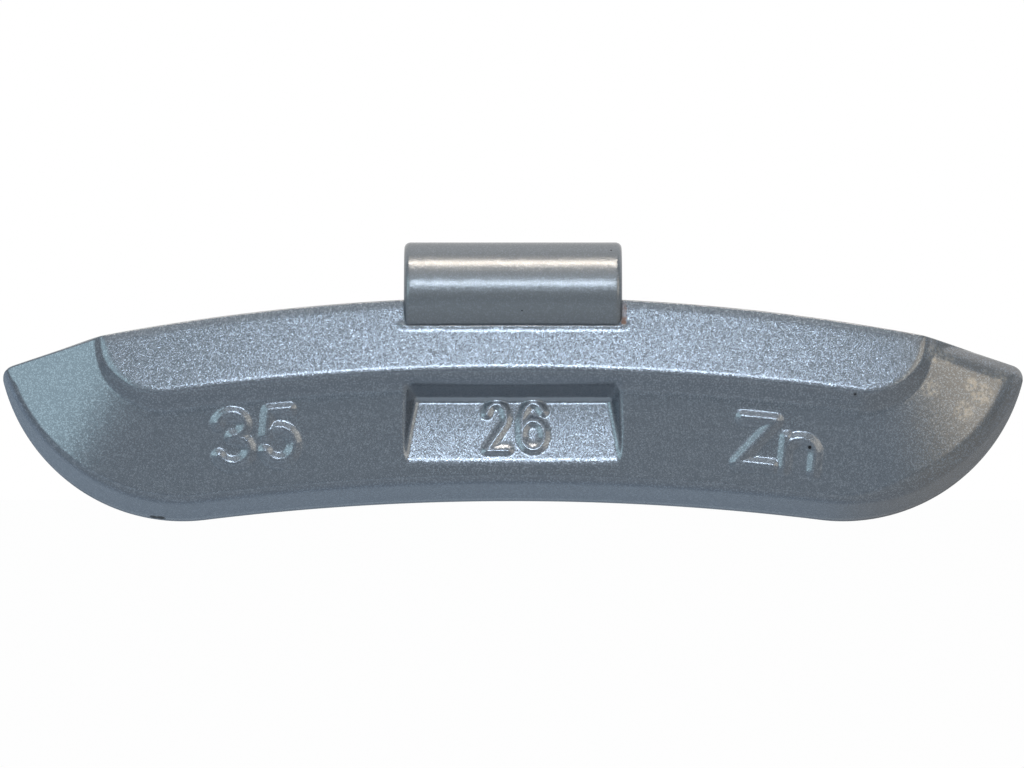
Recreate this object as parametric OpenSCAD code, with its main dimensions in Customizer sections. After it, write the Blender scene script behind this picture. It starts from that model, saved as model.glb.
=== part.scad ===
// Clip-on balance weight for a car wheel: a cast zinc body with a spring-steel
// clip cast into it, both painted silver. It stands as on the top of a wheel:
// X runs along the rim, Z points away from the wheel's axis, the front faces -Y
// and the flat back lies on the plane y = 0. The origin is on the back, at mid
// length, at the height of the top edge. All sizes are in millimetres.

/* [Cast body] */
// Radius of the lower edge, about the wheel's axis
inner_r = 199; // [160:1:260]
// Height of the body at mid length
body_h = 16.1; // [14.5:0.1:19]
// Radius of the top edge
top_r = 174; // [140:1:214]
// Distance between the centres of the two end arcs
end_span = 52; // [40:0.5:62]
// Radius of each end arc
end_r = 14.6; // [13:0.1:17]
// Distance of each shoulder, where the tip's edge starts, past the end arc's centre
shoulder_out = 6.4; // [4:0.1:8]
// Slope of the tip's upper edge
tip_slope = 18.6; // [14:0.1:24]
// Corner radius of each tip
tip_r = 1.15; // [0.8:0.05:2]
// Draft of the lower, end and tip walls
draft = 15; // [6:0.5:18]
// Draft of the top edge
top_draft = 3; // [1:0.5:8]
// Depth of the front face at the foot of the ridge's wall, from the back
front_depth = 4.5; // [4.3:0.05:5.4]
// Lean of the front face, which makes the body deeper downwards
front_tilt = 3.5; // [0:0.5:6]
// Rounding of the lower front edge
edge_r = 0.8; // [0.3:0.05:1.2]

/* [Raised facet] */
// Height of the facet from the top edge to its ridge, at mid length
facet_h = 5.6; // [4.5:0.05:6.2]
// Slope of the facet, which makes the body thinner upwards
facet_tilt = 19; // [14:0.5:22]
// Height of the ridge above the front face
ridge_rise = 0.65; // [0.3:0.05:1]
// Run of the sloping wall under the ridge
wall_run = 1.4; // [1:0.05:2]
// Corner radius of the facet's ends
facet_corner_r = 4.4; // [3.5:0.1:5.2]
// Distance of the facet's corner centres past the end arcs' centres
facet_out = 1.5; // [0.5:0.1:2]

/* [End lobes] */
// Slope of each end lobe
lobe_slope = 22; // [16:0.5:24]
// Direction in which the lobes fall, above the body's length
lobe_dir = 38; // [30:1:45]
// Distance from the end arc's centre at which the lobe starts
lobe_start = 1.7; // [1:0.1:3]

/* [Label pocket] */
// Width of the pocket at the front face
pocket_w = 17.1; // [12:0.1:24]
// Distance of the pocket's upper edge below the body's top edge
pocket_top = 6.6; // [6.3:0.1:8]
// Distance of the pocket's lower edge, where its floor meets the front, below the top edge
pocket_bottom = 12.95; // [12:0.05:14]
// Slope of the pocket's floor
pocket_tilt = 18; // [14:0.5:20]
// Draft of the pocket's upper wall
pocket_top_draft = 42; // [25:1:50]
// Draft of the pocket's side walls
pocket_side_draft = 27; // [10:1:35]

/* [Spring clip] */
// Width of the steel strip
clip_w = 17.1; // [10:0.1:24]
// Thickness of the steel strip
strip_t = 1.1; // [0.8:0.05:1.2]
// Outer radius of the bend over the rim flange
bend_r = 4.4; // [4.2:0.05:5]
// Height of the bend's centre above the body's top edge, less than none when below it
bend_z = -0.1; // [-0.4:0.05:0.3]
// Turn of the strip past the front of the bend, back into the body
wrap = 35; // [30:1:45]
// Straight length of the strip as it goes into the body
dive_l = 1.2; // [0.8:0.1:1.8]
// Middle radius of the turn down into the shank
turn_r = 2.5; // [1.5:0.1:3]
// Straight length of the shank inside the body
shank_l = 7.1; // [5.5:0.1:8]
// Diameter of the two lock holes in the shank
lock_hole_d = 3; // [2:0.1:4]
// Distance between the centres of the lock holes
lock_pitch = 8.4; // [5:0.1:9]
// Lean of the gripping leg towards the body
leg_lean = 4.5; // [0:0.5:7]
// Straight length of the gripping leg
leg_l = 8; // [6:0.1:10]
// Middle radius of the flare at the leg's end
flare_r = 3; // [2:0.1:4]
// Turn of the flare, away from the body
flare = 32; // [15:1:45]
// Corner radius of the gripping leg
leg_corner_r = 3; // [1:0.1:4]

/* [Hidden] */
$fn = 96;
// How far one of two tangent surfaces passes the other, so that their edge is clean
pass = 0.01;

// Heights below the top edge and radii about the wheel's axis
axis_drop = inner_r + body_h;
ridge_radius = axis_drop - facet_h;
foot_radius = ridge_radius - wall_run;
ridge_depth = front_depth + ridge_rise;
outer_radius = axis_drop + body_h / 4;

// End arc's centre, on which the lower edge runs tangent into the end arc
end_x = end_span / 2;
end_z = sqrt(pow(inner_r + end_r - pass, 2) - pow(end_x, 2)) - axis_drop;
seam_angle = asin(end_x / (inner_r + end_r));

// Shoulder on the top arc, and the tip's rounding between its sloping edge and the end arc
shoulder_x = end_x + shoulder_out;
shoulder_z = sqrt(pow(top_r, 2) - pow(shoulder_x, 2)) - top_r;
tip_edge_dir = [cos(tip_slope), -sin(tip_slope)];
tip_edge_in = [-sin(tip_slope), -cos(tip_slope)];
end_to_shoulder = [shoulder_x - end_x, shoulder_z - end_z];
along = end_to_shoulder * tip_edge_dir;
above = end_to_shoulder * tip_edge_in + tip_r;
tip_run = along - sqrt(pow(end_r - tip_r, 2) - pow(above, 2));
tip_centre = [shoulder_x, shoulder_z] + tip_edge_in * tip_r - tip_edge_dir * tip_run;
tip_turn = atan2(tip_centre[1] - end_z, tip_centre[0] - end_x);

// Facet corner's centre, at which the ridge runs tangent into the corner
facet_x = end_x + facet_out;
facet_angle = asin(facet_x / (ridge_radius + facet_corner_r));
facet_wall_angle = facet_tilt + atan(ridge_rise / wall_run);
facet_plane_r = facet_corner_r / cos(facet_tilt);
facet_centre_depth = ridge_depth - facet_corner_r * tan(facet_tilt);
// How far the casting lies below the facet's plane, under the facet
facet_sink = ridge_rise / 2;

// Lengths of the cutting tools: past the surface that they start from, through the
// deepest part of the body, and over a whole end of it
over = 1;
through = 2 * ridge_depth;
reach = end_x + end_r;

// Middle radius of the clip's bend, and its two ends
bend_mid = bend_r - strip_t / 2;
shank_x = bend_mid * cos(wrap) - dive_l * sin(wrap) - turn_r * (1 - cos(wrap));
shank_z = bend_z - bend_mid * sin(wrap) - dive_l * cos(wrap) - turn_r * sin(wrap);
leg_z = bend_z - bend_mid * sin(leg_lean) - leg_l * cos(leg_lean);
flare_end_z = leg_z - flare_r * (sin(leg_lean) + sin(flare - leg_lean));
leg_end_z = flare_end_z - strip_t / 2 * sin(flare - leg_lean);
lock_z = shank_z - shank_l / 2;

// Depth of the front face and of the facet at a radius about the wheel's axis
function front_at(r) = front_depth + (foot_radius - r) * tan(front_tilt);
function facet_at(r) = ridge_depth - (r - ridge_radius) * tan(facet_tilt);

// Points of an arc about a centre, from one angle to another
function arc(centre, r, from, to, steps = 24) =
    [for (i = [0:steps]) let (a = from + (to - from) * i / steps) centre + r * [cos(a), sin(a)]];

// Points of the round between two straight edges that meet at a corner
function rounded(before, corner, after, r, steps = 6) =
    let (
        u = (before - corner) / norm(before - corner),
        v = (after - corner) / norm(after - corner),
        half = acos(u * v) / 2,
        centre = corner + (u + v) / norm(u + v) * r / sin(half),
        start = corner + u * r / tan(half) - centre,
        end = corner + v * r / tan(half) - centre,
        a = atan2(start[1], start[0]),
        turn = atan2(end[1], end[0]) - a,
        sweep = turn > 180 ? turn - 360 : turn < -180 ? turn + 360 : turn
    )
    arc(centre, r, a, a + sweep, steps);

// Lays a plan of X and Z on the back plane and gives it depth towards the front
module laid(depth) rotate([90, 0, 0]) linear_extrude(height = depth) children();

// Turns a section of radius and depth about the wheel's axis, over the body's length
module about_wheel_axis() {
    half = asin((end_x + end_r + over) / inner_r);
    translate([0, 0, -axis_drop]) rotate([90, 0, 0]) rotate([0, 0, 90 - half])
        rotate_extrude(angle = 2 * half) children();
}

// Plan of a sector with its tip at the origin
module sector(from, to) polygon(concat([[0, 0]], arc([0, 0], reach, from, to, 8)));

// What lies outside a drafted round corner, within a sector about its centre
module outside_corner(centre, r, from, to) translate([centre[0], 0, centre[1]]) difference() {
    rotate([90, 0, 0]) translate([0, 0, -over]) linear_extrude(height = through) sector(from, to);
    keep = min(through, 0.9 * r / tan(draft));
    rotate([90, 0, 0]) translate([0, 0, -2 * over]) cylinder(
        h = keep + 2 * over,
        r1 = r + pass + 2 * over * tan(draft),
        r2 = r + pass - keep * tan(draft)
    );
}

// The casting without its raised facet: lower wall, front face and what lies under the facet
module base_form() {
    lower_edge = [inner_r, 0];
    corner_depth = front_at(inner_r) / (1 + tan(draft) * tan(front_tilt));
    corner = [inner_r + corner_depth * tan(draft), corner_depth];
    meet = (front_depth + foot_radius * tan(front_tilt) - ridge_depth + facet_sink
        - ridge_radius * tan(facet_tilt)) / (tan(front_tilt) - tan(facet_tilt));
    under_facet = [meet, front_at(meet)];
    difference() {
        about_wheel_axis() polygon(concat(
            [lower_edge],
            rounded(lower_edge, corner, under_facet, edge_r),
            [under_facet, [outer_radius, facet_at(outer_radius) - facet_sink], [outer_radius, 0]]
        ));
        for (side = [0, 1]) mirror([side, 0, 0]) lobe_cut();
    }
}

// What lies in front of the sloping end lobe
module lobe_cut() {
    fall = [1, tan(lobe_slope)];
    before = [lobe_start, -front_depth] - end_r / 2 * fall;
    after = [lobe_start, -front_depth] + end_r * fall;
    translate([end_x, 0, end_z]) rotate([0, -lobe_dir, 0]) translate([0, 0, -reach])
        linear_extrude(height = 2 * reach)
            polygon([before, after, [after[0], -2 * through], [before[0], -2 * through]]);
}

// The raised facet with the sloping wall round it
module facet_form() difference() {
    about_wheel_axis() polygon([
        [foot_radius - wall_run, 0],
        [foot_radius - wall_run, front_depth - ridge_rise],
        [ridge_radius, ridge_depth],
        [outer_radius, facet_at(outer_radius)],
        [outer_radius, 0]
    ]);
    for (side = [0, 1]) mirror([side, 0, 0]) outside_facet_corner();
}

// What lies outside the facet's round end, whose axis stands square on the facet
module outside_facet_corner() {
    spread = 1 / tan(facet_wall_angle);
    translate([0, 0, -axis_drop]) rotate([0, facet_angle, 0])
        translate([0, -facet_centre_depth, ridge_radius + facet_corner_r])
            rotate([90 - facet_tilt, 0, 0]) difference() {
                translate([0, 0, -through]) linear_extrude(height = 2 * through) sector(-90, 70);
                translate([0, 0, -through - over]) cylinder(
                    h = through + 2 * over,
                    r1 = facet_plane_r + pass + (through + over) * spread,
                    r2 = facet_plane_r + pass - over * spread
                );
            }
}

// What lies above the tip's sloping edge, whose wall has a given draft
module above_tip_edge(lean) translate([shoulder_x, 0, shoulder_z]) rotate([0, tip_slope, 0])
    translate([-reach, 0, 0]) rotate([90, 0, 90]) linear_extrude(height = 2 * reach)
        polygon([
            [over, over * tan(lean)],
            [-through, -through * tan(lean)],
            [-through, reach],
            [over, reach]
        ]);

// The pocket in the front face: a floor that slopes up to the front, and three drafted walls
module pocket() {
    centre_radius = axis_drop - pocket_bottom;
    bottom_depth = front_at(centre_radius);
    top_depth = front_at(axis_drop - pocket_top);
    // The floor's upper end, where the sloping floor meets the upper wall
    run = (pocket_bottom - pocket_top + (bottom_depth - top_depth) * tan(pocket_top_draft))
        / (1 + tan(pocket_tilt) * tan(pocket_top_draft));
    floor_top = [-bottom_depth + run * tan(pocket_tilt), run - pocket_bottom];
    side = tan(pocket_side_draft);
    half = pocket_w / 2;
    intersection() {
        rotate([90, 0, 90]) translate([0, 0, -reach]) linear_extrude(height = 2 * reach) polygon([
            [-bottom_depth - over * tan(pocket_tilt), -pocket_bottom - over],
            floor_top,
            floor_top + through * [-1, tan(pocket_top_draft)],
            [-bottom_depth - through, -pocket_bottom - over]
        ]);
        translate([0, 0, -pocket_bottom - reach]) linear_extrude(height = 2 * reach) polygon([
            [-half + bottom_depth / 2 * side, -bottom_depth / 2],
            [half - bottom_depth / 2 * side, -bottom_depth / 2],
            [half + over * side, -bottom_depth - over],
            [-half - over * side, -bottom_depth - over]
        ]);
    }
}

// Both halves of the strip's path, as points on one face of the strip, seen along X
function clip_face(side) =
    let (
        off = side * strip_t / 2,
        lean_end = 180 + leg_lean,
        leg_start = [0, bend_z] + bend_mid * [cos(lean_end), sin(lean_end)],
        leg_dir = [sin(leg_lean), -cos(leg_lean)],
        leg_out = [-cos(leg_lean), -sin(leg_lean)],
        flare_centre = leg_start + leg_l * leg_dir + flare_r * leg_out,
        dive_start = [0, bend_z] + bend_mid * [cos(wrap), -sin(wrap)],
        dive_dir = [-sin(wrap), -cos(wrap)],
        dive_out = [cos(wrap), -sin(wrap)],
        turn_centre = dive_start + dive_l * dive_dir + turn_r * dive_out
    )
    concat(
        arc(flare_centre, flare_r - off, leg_lean - flare, leg_lean, 8),
        arc([0, bend_z], bend_mid + off, lean_end, -wrap, 48),
        arc(turn_centre, turn_r - off, 180 - wrap, 180, 10),
        [[shank_x + off, shank_z - shank_l]]
    );

function reversed(points) = [for (i = [len(points) - 1:-1:0]) points[i]];

// The bent strip at full width, without its holes
module strip() translate([clip_w / 2, 0, 0]) rotate([90, 0, -90]) linear_extrude(height = clip_w)
    polygon(concat(clip_face(1), reversed(clip_face(-1))));

// The clip: bent strip, lock holes in the shank and round corners on the gripping leg
module clip_form() difference() {
    strip();
    for (side = [-1, 1]) translate([side * lock_pitch / 2, 0, lock_z]) rotate([90, 0, 0])
        cylinder(h = 2 * (shank_x + strip_t), d = lock_hole_d);
    for (side = [0, 1]) mirror([side, 0, 0])
        translate([clip_w / 2 - leg_corner_r, 2 * bend_r, leg_end_z + leg_corner_r])
            laid(2 * bend_r - strip_t) difference() {
                translate([0, -leg_corner_r - over]) square(leg_corner_r + over);
                circle(leg_corner_r + pass);
            }
}

// The tips' walls have the full draft, but where they cut the facet they are as steep as the top edge
module cast_body() color([0.56, 0.61, 0.66]) difference() {
    intersection() {
        union() {
            difference() {
                base_form();
                for (side = [0, 1]) mirror([side, 0, 0]) above_tip_edge(draft);
            }
            difference() {
                facet_form();
                for (side = [0, 1]) mirror([side, 0, 0]) above_tip_edge(top_draft);
            }
        }
        translate([0, 0, -top_r]) rotate([90, 0, 0])
            cylinder(h = through, r1 = top_r, r2 = top_r - through * tan(top_draft));
    }
    for (side = [0, 1]) mirror([side, 0, 0]) {
        outside_corner([end_x, end_z], end_r, -90 - seam_angle, 60);
        outside_corner(tip_centre, tip_r, tip_turn, 90 - tip_slope);
    }
    pocket();
    clip_form();
}

module spring_clip() color([0.66, 0.69, 0.71]) clip_form();

cast_body();
spring_clip();
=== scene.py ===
"""Clip-on balance weight for a car wheel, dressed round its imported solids.

The casting is one closed sheet of sections: at each place in plan the depth of its front is
where the signed distances of its walls, faces, pocket and raised signs, rounded into each other,
come to nothing. The clip is a strip with rounded edges carried along its bent path. Both are
painted silver. Lengths inside the functions are in millimetres and angles in radians.
"""

import math
from types import SimpleNamespace

import bpy
import numpy as np
from bpy.props import FloatProperty, FloatVectorProperty, PointerProperty
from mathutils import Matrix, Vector


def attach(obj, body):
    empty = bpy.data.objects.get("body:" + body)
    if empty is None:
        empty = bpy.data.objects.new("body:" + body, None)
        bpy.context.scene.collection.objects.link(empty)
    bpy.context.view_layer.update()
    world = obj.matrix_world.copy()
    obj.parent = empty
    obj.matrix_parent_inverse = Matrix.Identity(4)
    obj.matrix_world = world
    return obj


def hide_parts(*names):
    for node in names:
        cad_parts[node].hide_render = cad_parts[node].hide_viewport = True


bl_info = {
    "name": "Wheel balance weight",
    "version": (1, 0, 0),
    "blender": (4, 5, 0),
    "location": "View3D > Sidebar > Balance weight",
    "description": "Cast zinc balance weight with its spring-steel clip, painted silver",
    "category": "Add Mesh",
}

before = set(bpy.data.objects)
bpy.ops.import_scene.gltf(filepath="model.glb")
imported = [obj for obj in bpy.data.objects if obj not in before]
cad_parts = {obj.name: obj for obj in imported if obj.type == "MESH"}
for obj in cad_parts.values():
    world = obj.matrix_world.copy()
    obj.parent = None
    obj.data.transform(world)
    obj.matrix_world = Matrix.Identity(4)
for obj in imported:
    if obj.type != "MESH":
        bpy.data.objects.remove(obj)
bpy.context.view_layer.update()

MM = 0.001
# Lengths below this count as nought
TINY = 1e-9
BODY = "root"


def length(name, description, mm):
    """A length that the user can change, with its default in millimetres."""
    return FloatProperty(
        name=name, description=description, default=mm * MM, unit="LENGTH", precision=5
    )


def angle(name, description, degrees):
    """An angle that the user can change, with its default in degrees."""
    return FloatProperty(
        name=name, description=description, default=math.radians(degrees), subtype="ANGLE"
    )


def colour(name, description, rgb):
    """A colour that the user can change, in linear red, green and blue."""
    return FloatVectorProperty(
        name=name, description=description, default=rgb, subtype="COLOR", min=0, max=1
    )


def amount(name, description, value):
    """A plain number that the user can change."""
    return FloatProperty(name=name, description=description, default=value, min=0)


class CastSizes(bpy.types.PropertyGroup):
    """Sizes of the cast body."""

    inner_r: length("Lower edge radius", "Radius of the lower edge, about the wheel's axis", 199)
    body_h: length("Height", "Height of the body at mid length", 16.1)
    top_r: length("Top edge radius", "Radius of the top edge", 174)
    end_span: length("End span", "Distance between the centres of the two end arcs", 52)
    end_r: length("End radius", "Radius of each end arc", 14.6)
    shoulder_out: length("Shoulder", "Distance of each shoulder past the end arc's centre", 6.4)
    tip_slope: angle("Tip slope", "Slope of the tip's upper edge", 18.6)
    tip_r: length("Tip radius", "Corner radius of each tip", 1.15)
    soft_draft: angle("Soft draft", "Lean of the worn lower and end walls", 18)
    soft_top_draft: angle("Soft top draft", "Lean of the top edge as painted", 0.8)
    tip_draft: angle("Tip draft", "Lean of the right tip's sloping edge", 6)
    left_tip_draft: angle("Left tip draft", "Lean of the left tip's sloping edge", 2)
    front_depth: length("Depth", "Depth of the front face at the foot of the ridge's wall", 4.5)
    front_tilt: angle("Front tilt", "Lean of the front face, deeper downwards", 3.5)
    facet_h: length("Facet height", "Height of the facet from the top edge to its ridge", 5.6)
    facet_tilt: angle("Facet tilt", "Slope of the facet, thinner upwards", 19)
    ridge_rise: length("Ridge rise", "Height of the ridge above the front face", 0.65)
    wall_run: length("Ridge wall", "Run of the sloping wall under the ridge", 1.4)
    wall_spread: amount("Ridge wall spread", "How many times its run the soft wall takes", 1.3)
    facet_corner_r: length("Facet corner", "Corner radius of the facet's ends", 4.4)
    facet_out: length("Facet end", "Distance of the facet's corners past the end arcs", 1.5)
    lobe_slope: angle("Lobe slope", "Slope of each end lobe", 22)
    lobe_dir: angle("Lobe direction", "Direction in which the lobes fall", 38)
    lobe_start: length("Lobe start", "Distance from the end arc's centre to the lobe", 1.7)
    pocket_w: length("Pocket width", "Width of the pocket at the front face", 17.1)
    pocket_top: length("Pocket top", "Pocket's upper edge below the top edge", 6.6)
    pocket_bottom: length("Pocket bottom", "Pocket's lower edge below the top edge", 12.95)
    pocket_tilt: angle("Pocket tilt", "Slope of the pocket's floor", 18)
    pocket_top_draft: angle("Pocket top draft", "Draft of the pocket's upper wall", 42)
    pocket_side_draft: angle("Pocket side draft", "Draft of the pocket's side walls", 27)
    pocket_soft_draft: angle("Soft pocket wall", "Lean of the pocket's painted upper wall", 40)
    pocket_wall_in: length("Pocket wall in", "How far the painted upper wall stands in", 0.2)
    pocket_hollow: length("Pocket hollow", "How far the floor sags at its upper end", 0.226)
    edge_round: length("Edge round", "Rounding of the front's outer edge", 0.55)
    right_edge_round: length("Right edge round", "Rounding of the right end's outer edge", 1.2)
    top_round: length("Top round", "Rounding of the top edge", 0.08)
    ease_drop: length("Top ease", "How far the facet falls off more at the top edge", 0.07)
    ease_run: length("Top ease run", "Width of the facet's eased strip", 0.8)
    ridge_round: length("Ridge round", "Rounding of the ridge, in from its two faces", 0.11)
    foot_round: length("Foot round", "Fillet under the ridge, out from its two faces", 0.1)
    left_round: length("Left crest", "Softness of the crest where the left lobe starts", 1.3)
    tip_edge_round: length("Left tip edge", "Rounding of the left tip's sloping edge", 0.12)
    tip_blend: length("Tip blend", "Stretch over which a tip's rounding changes", 1.6)
    right_tip_round: length("Right tip edge", "Rounding of the right tip's sloping edge", 1.5)
    right_round: length("Right crest", "Softness of the crest where the right lobe starts", 1.9)
    pocket_round: length("Pocket round", "Rounding of the pocket's rim", 0.24)
    sill_round: length("Sill round", "Rounding of the floor's lower edge", 0.09)
    floor_round: length("Floor round", "Fillet along the pocket's floor", 0.36)
    sign_rise: length("Sign height", "Height of the raised signs beside the pocket", 0.21)
    sign_half_w: length("Sign stroke", "Half the width of the signs' strokes", 0.74)
    digit_rise: length("Digit height", "Height of the raised digits in the pocket", 0.17)
    digit_half_w: length("Digit stroke", "Half the width of the digits' strokes", 0.56)


class ClipSizes(bpy.types.PropertyGroup):
    """Sizes of the spring clip."""

    clip_w: length("Width", "Width of the steel strip", 17.1)
    strip_t: length("Thickness", "Thickness of the steel strip", 1.1)
    bend_r: length("Bend radius", "Outer radius of the bend over the rim flange", 4.4)
    bend_z: length("Bend height", "Height of the bend's centre above the top edge", -0.1)
    wrap: angle("Wrap", "Turn of the strip past the front of the bend", 35)
    dive_l: length("Dive", "Straight length of the strip as it goes into the body", 1.2)
    turn_r: length("Turn radius", "Middle radius of the turn down into the shank", 2.5)
    shank_l: length("Shank", "Straight length of the shank inside the body", 7.1)
    leg_lean: angle("Leg lean", "Lean of the gripping leg towards the body", 4.5)
    leg_l: length("Leg", "Straight length of the gripping leg", 8)
    flare_r: length("Flare radius", "Middle radius of the flare at the leg's end", 3)
    flare: angle("Flare", "Turn of the flare, away from the body", 32)
    leg_corner_r: length("Leg corner", "Corner radius of the gripping leg", 3)
    edge_round: length("Edge round", "Rounding of the strip's edges", 0.48)
    foot_z: length("Foot", "Height at which the strip goes into the casting", -2.2)
    lip_rise: length("Lip", "Rise of the zinc towards the strip's foot", 0.09)
    lip_run: length("Lip run", "Width of the zinc's rise round the foot", 0.63)
    lip_wave: length("Lip wave", "How far the rise's width wanders", 0.04)
    lip_fall: amount("Lip fall", "How many times steeper the rise ends above the foot", 2.2)
    sink: length("Sink", "Depth of the zinc's sink behind the strip", 0.2)
    sink_run: length("Sink run", "Height over which the sink deepens", 0.1)


class PaintLooks(bpy.types.PropertyGroup):
    """Colours and finish of the silver paint."""

    cast_paint: colour("Paint", "Silver paint of the casting", (0.186, 0.211, 0.247))
    flake: colour("Flake", "Brightest flakes of the paint", (0.305, 0.340, 0.388))
    # Painted reflection: the right end's base colour, warmer like the light that falls from the
    # right
    warm: colour("Warm paint", "Silver paint of the right end", (0.203, 0.208, 0.215))
    clip_paint: colour("Clip paint", "Silver paint of the clip", (0.203, 0.222, 0.243))
    # Colour of the pale patches on the right lobe
    dry: colour("Dry paint", "Pale patches on the right lobe", (0.50, 0.475, 0.43))
    # Rusty brown with painted shade beside the clip's foot
    rust: colour("Rust", "Rust at the clip's foot", (0.21, 0.12, 0.085))
    chip: colour("Chip", "Bare, dark chips in the paint", (0.012, 0.012, 0.014))
    flake_size: length("Flake size", "Size of the paint's flakes", 0.085)
    cast_lean: amount("Flake lean", "How far the casting's flakes lean out of the surface", 0.07)
    clip_lean: amount("Clip flake lean", "How far the clip's flakes lean", 0.1)
    cast_sparkle: amount("Sparkle", "Share of the brightest flakes on the casting", 1)
    clip_sparkle: amount("Clip sparkle", "Share of the brightest flakes on the clip", 0.4)
    cast_roughness: amount("Roughness", "Roughness of the casting's paint", 0.23)
    clip_roughness: amount("Clip roughness", "Roughness of the clip's paint", 0.28)
    cast_coat: amount("Clear coat", "Weight of the casting's clear coat", 0.4)
    clip_coat: amount("Clip clear coat", "Weight of the clip's clear coat", 0.5)
    cast_peel: length("Grain", "Height of the grain on the casting", 0.004)
    clip_peel: length("Clip grain", "Height of the grain on the clip", 0.0012)


class StageLooks(bpy.types.PropertyGroup):
    """The camera's place, the studio's light and the floor's tints."""

    camera_away: length("Camera distance", "Distance of the camera from the back plane", 700)
    camera_x: length("Camera side", "Place of the camera along the body", -0.08)
    camera_z: length("Camera height", "Height of the camera", -6.85)
    view_w: length("View width", "Width of the view at the back plane", 80.63)
    floor_z: length("Floor", "Height of the floor", -55)
    surround: colour("Surround", "Light from all round", (0.42, 0.458, 0.486))
    floor_front: colour("Front floor", "Floor well in front of the body", (0.60, 0.65, 0.71))
    floor_back: colour("Back floor", "Floor under and behind the body", (0.54, 0.58, 0.63))
    floor_right: colour("Right floor", "Tint of the floor on the right", (0.56, 0.545, 0.53))
    mirror_left: colour("Left mirror", "Floor behind, as paint mirrors it", (0.58, 0.70, 0.83))
    mirror_right: colour("Right mirror", "The same on the right", (0.52, 0.54, 0.56))


def plain(group):
    """The group's values as plain numbers: lengths in millimetres, angles in radians."""
    kinds = group.bl_rna.properties
    return SimpleNamespace(**{
        key: getattr(group, key) / MM if kinds[key].unit == "LENGTH" else getattr(group, key)
        for key in type(group).__annotations__
        if kinds[key].type == "FLOAT" and not kinds[key].is_array
    })


def cast_shape(group):
    """The casting's sizes with the lengths and angles that follow from them."""
    c = plain(group)
    c.axis_drop = c.inner_r + c.body_h
    c.ridge_radius = c.axis_drop - c.facet_h
    c.foot_radius = c.ridge_radius - c.wall_run
    c.ridge_depth = c.front_depth + c.ridge_rise
    c.end_x = c.end_span / 2
    c.end_z = math.sqrt((c.inner_r + c.end_r) ** 2 - c.end_x**2) - c.axis_drop
    c.seam_angle = math.asin(c.end_x / (c.inner_r + c.end_r))
    c.shoulder_x = c.end_x + c.shoulder_out
    c.shoulder_z = math.sqrt(c.top_r**2 - c.shoulder_x**2) - c.top_r
    slope_cos, slope_sin = math.cos(c.tip_slope), math.sin(c.tip_slope)
    out_x, out_z = c.shoulder_x - c.end_x, c.shoulder_z - c.end_z
    along = out_x * slope_cos - out_z * slope_sin
    above = c.tip_r - out_x * slope_sin - out_z * slope_cos
    tip_run = along - math.sqrt((c.end_r - c.tip_r) ** 2 - above**2)
    c.tip_x = c.shoulder_x - slope_sin * c.tip_r - slope_cos * tip_run
    c.tip_z = c.shoulder_z - slope_cos * c.tip_r + slope_sin * tip_run
    c.tip_turn = math.atan2(c.tip_z - c.end_z, c.tip_x - c.end_x)
    c.facet_angle = math.asin((c.end_x + c.facet_out) / (c.ridge_radius + c.facet_corner_r))
    c.facet_plane_r = c.facet_corner_r / math.cos(c.facet_tilt)
    c.facet_centre_depth = c.ridge_depth - c.facet_corner_r * math.tan(c.facet_tilt)
    c.facet_sink = c.ridge_rise / 2
    c.floor_low = front_depth_at(c, c.axis_drop - c.pocket_bottom)
    rim_gap = c.floor_low - front_depth_at(c, c.axis_drop - c.pocket_top)
    wall_tan, floor_tan = math.tan(c.pocket_top_draft), math.tan(c.pocket_tilt)
    run = (c.pocket_bottom - c.pocket_top + rim_gap * wall_tan) / (1 + floor_tan * wall_tan)
    c.floor_top_z = run - c.pocket_bottom
    c.floor_top_depth = c.floor_low - run * floor_tan
    return c


def front_depth_at(c, radius):
    """Depth of the front face: at the ridge wall's foot, more by the tilt for each step inwards."""
    return c.front_depth + (c.foot_radius - radius) * math.tan(c.front_tilt)


# Shapes made of numbers

# Length of an arc's steps, and the number of points of a sign's oval arc
ARC_STEP, BOW_POINTS = 0.05, 14


def arc(x, z, r, start, end):
    """Points of an arc: centre plus r times the cosine and sine of even steps of the angle."""
    turns = np.linspace(start, end, max(3, int(abs(end - start) * r / ARC_STEP)))
    return np.stack([x + r * np.cos(turns), z + r * np.sin(turns)], axis=1)


def even_line(points, places):
    """Points at given lengths along a line, with its direction there, both interpolated."""
    steps = np.hypot(*np.diff(points, axis=0).T)
    points = points[np.concatenate([[True], steps > TINY])]
    lengths = np.concatenate([[0], np.cumsum(steps[steps > TINY])])
    tangents = np.gradient(points, lengths, axis=0)
    at = np.stack([np.interp(places, lengths, p) for p in points.T], axis=-1)
    way = np.stack([np.interp(places, lengths, t) for t in tangents.T], axis=-1)
    return at, way / np.linalg.norm(way, axis=-1, keepdims=True)


def line_length(points):
    """Length of a line through points: the sum of its steps."""
    return float(np.hypot(*np.diff(points, axis=0).T).sum())


def round_cut(a, b, r):
    """What lies inside both surfaces, with the edge between them rounded: the greater distance,
    and within r of both the length of the pair (a + r, b + r), less r."""
    return np.minimum(np.maximum(a, b), -r) + np.hypot(np.maximum(a + r, 0), np.maximum(b + r, 0))


def round_join(a, b, r):
    """What lies inside either surface, with a fillet between them: the rounded cut, inside out."""
    return -round_cut(-a, -b, r)


def smooth_step(t):
    """Nought to one with level ends: three t squared less two t cubed."""
    t = np.clip(t, 0, 1)
    return t * t * (3 - 2 * t)


def bands(*parts):
    """Places along a line from bands of (end, step), each filled evenly from the one before."""
    places, start = [], 0.0
    for end, step in parts:
        places.append(np.linspace(start, end, max(1, round((end - start) / step)), endpoint=False))
        start = end
    return np.concatenate([*places, [start]])


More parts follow.
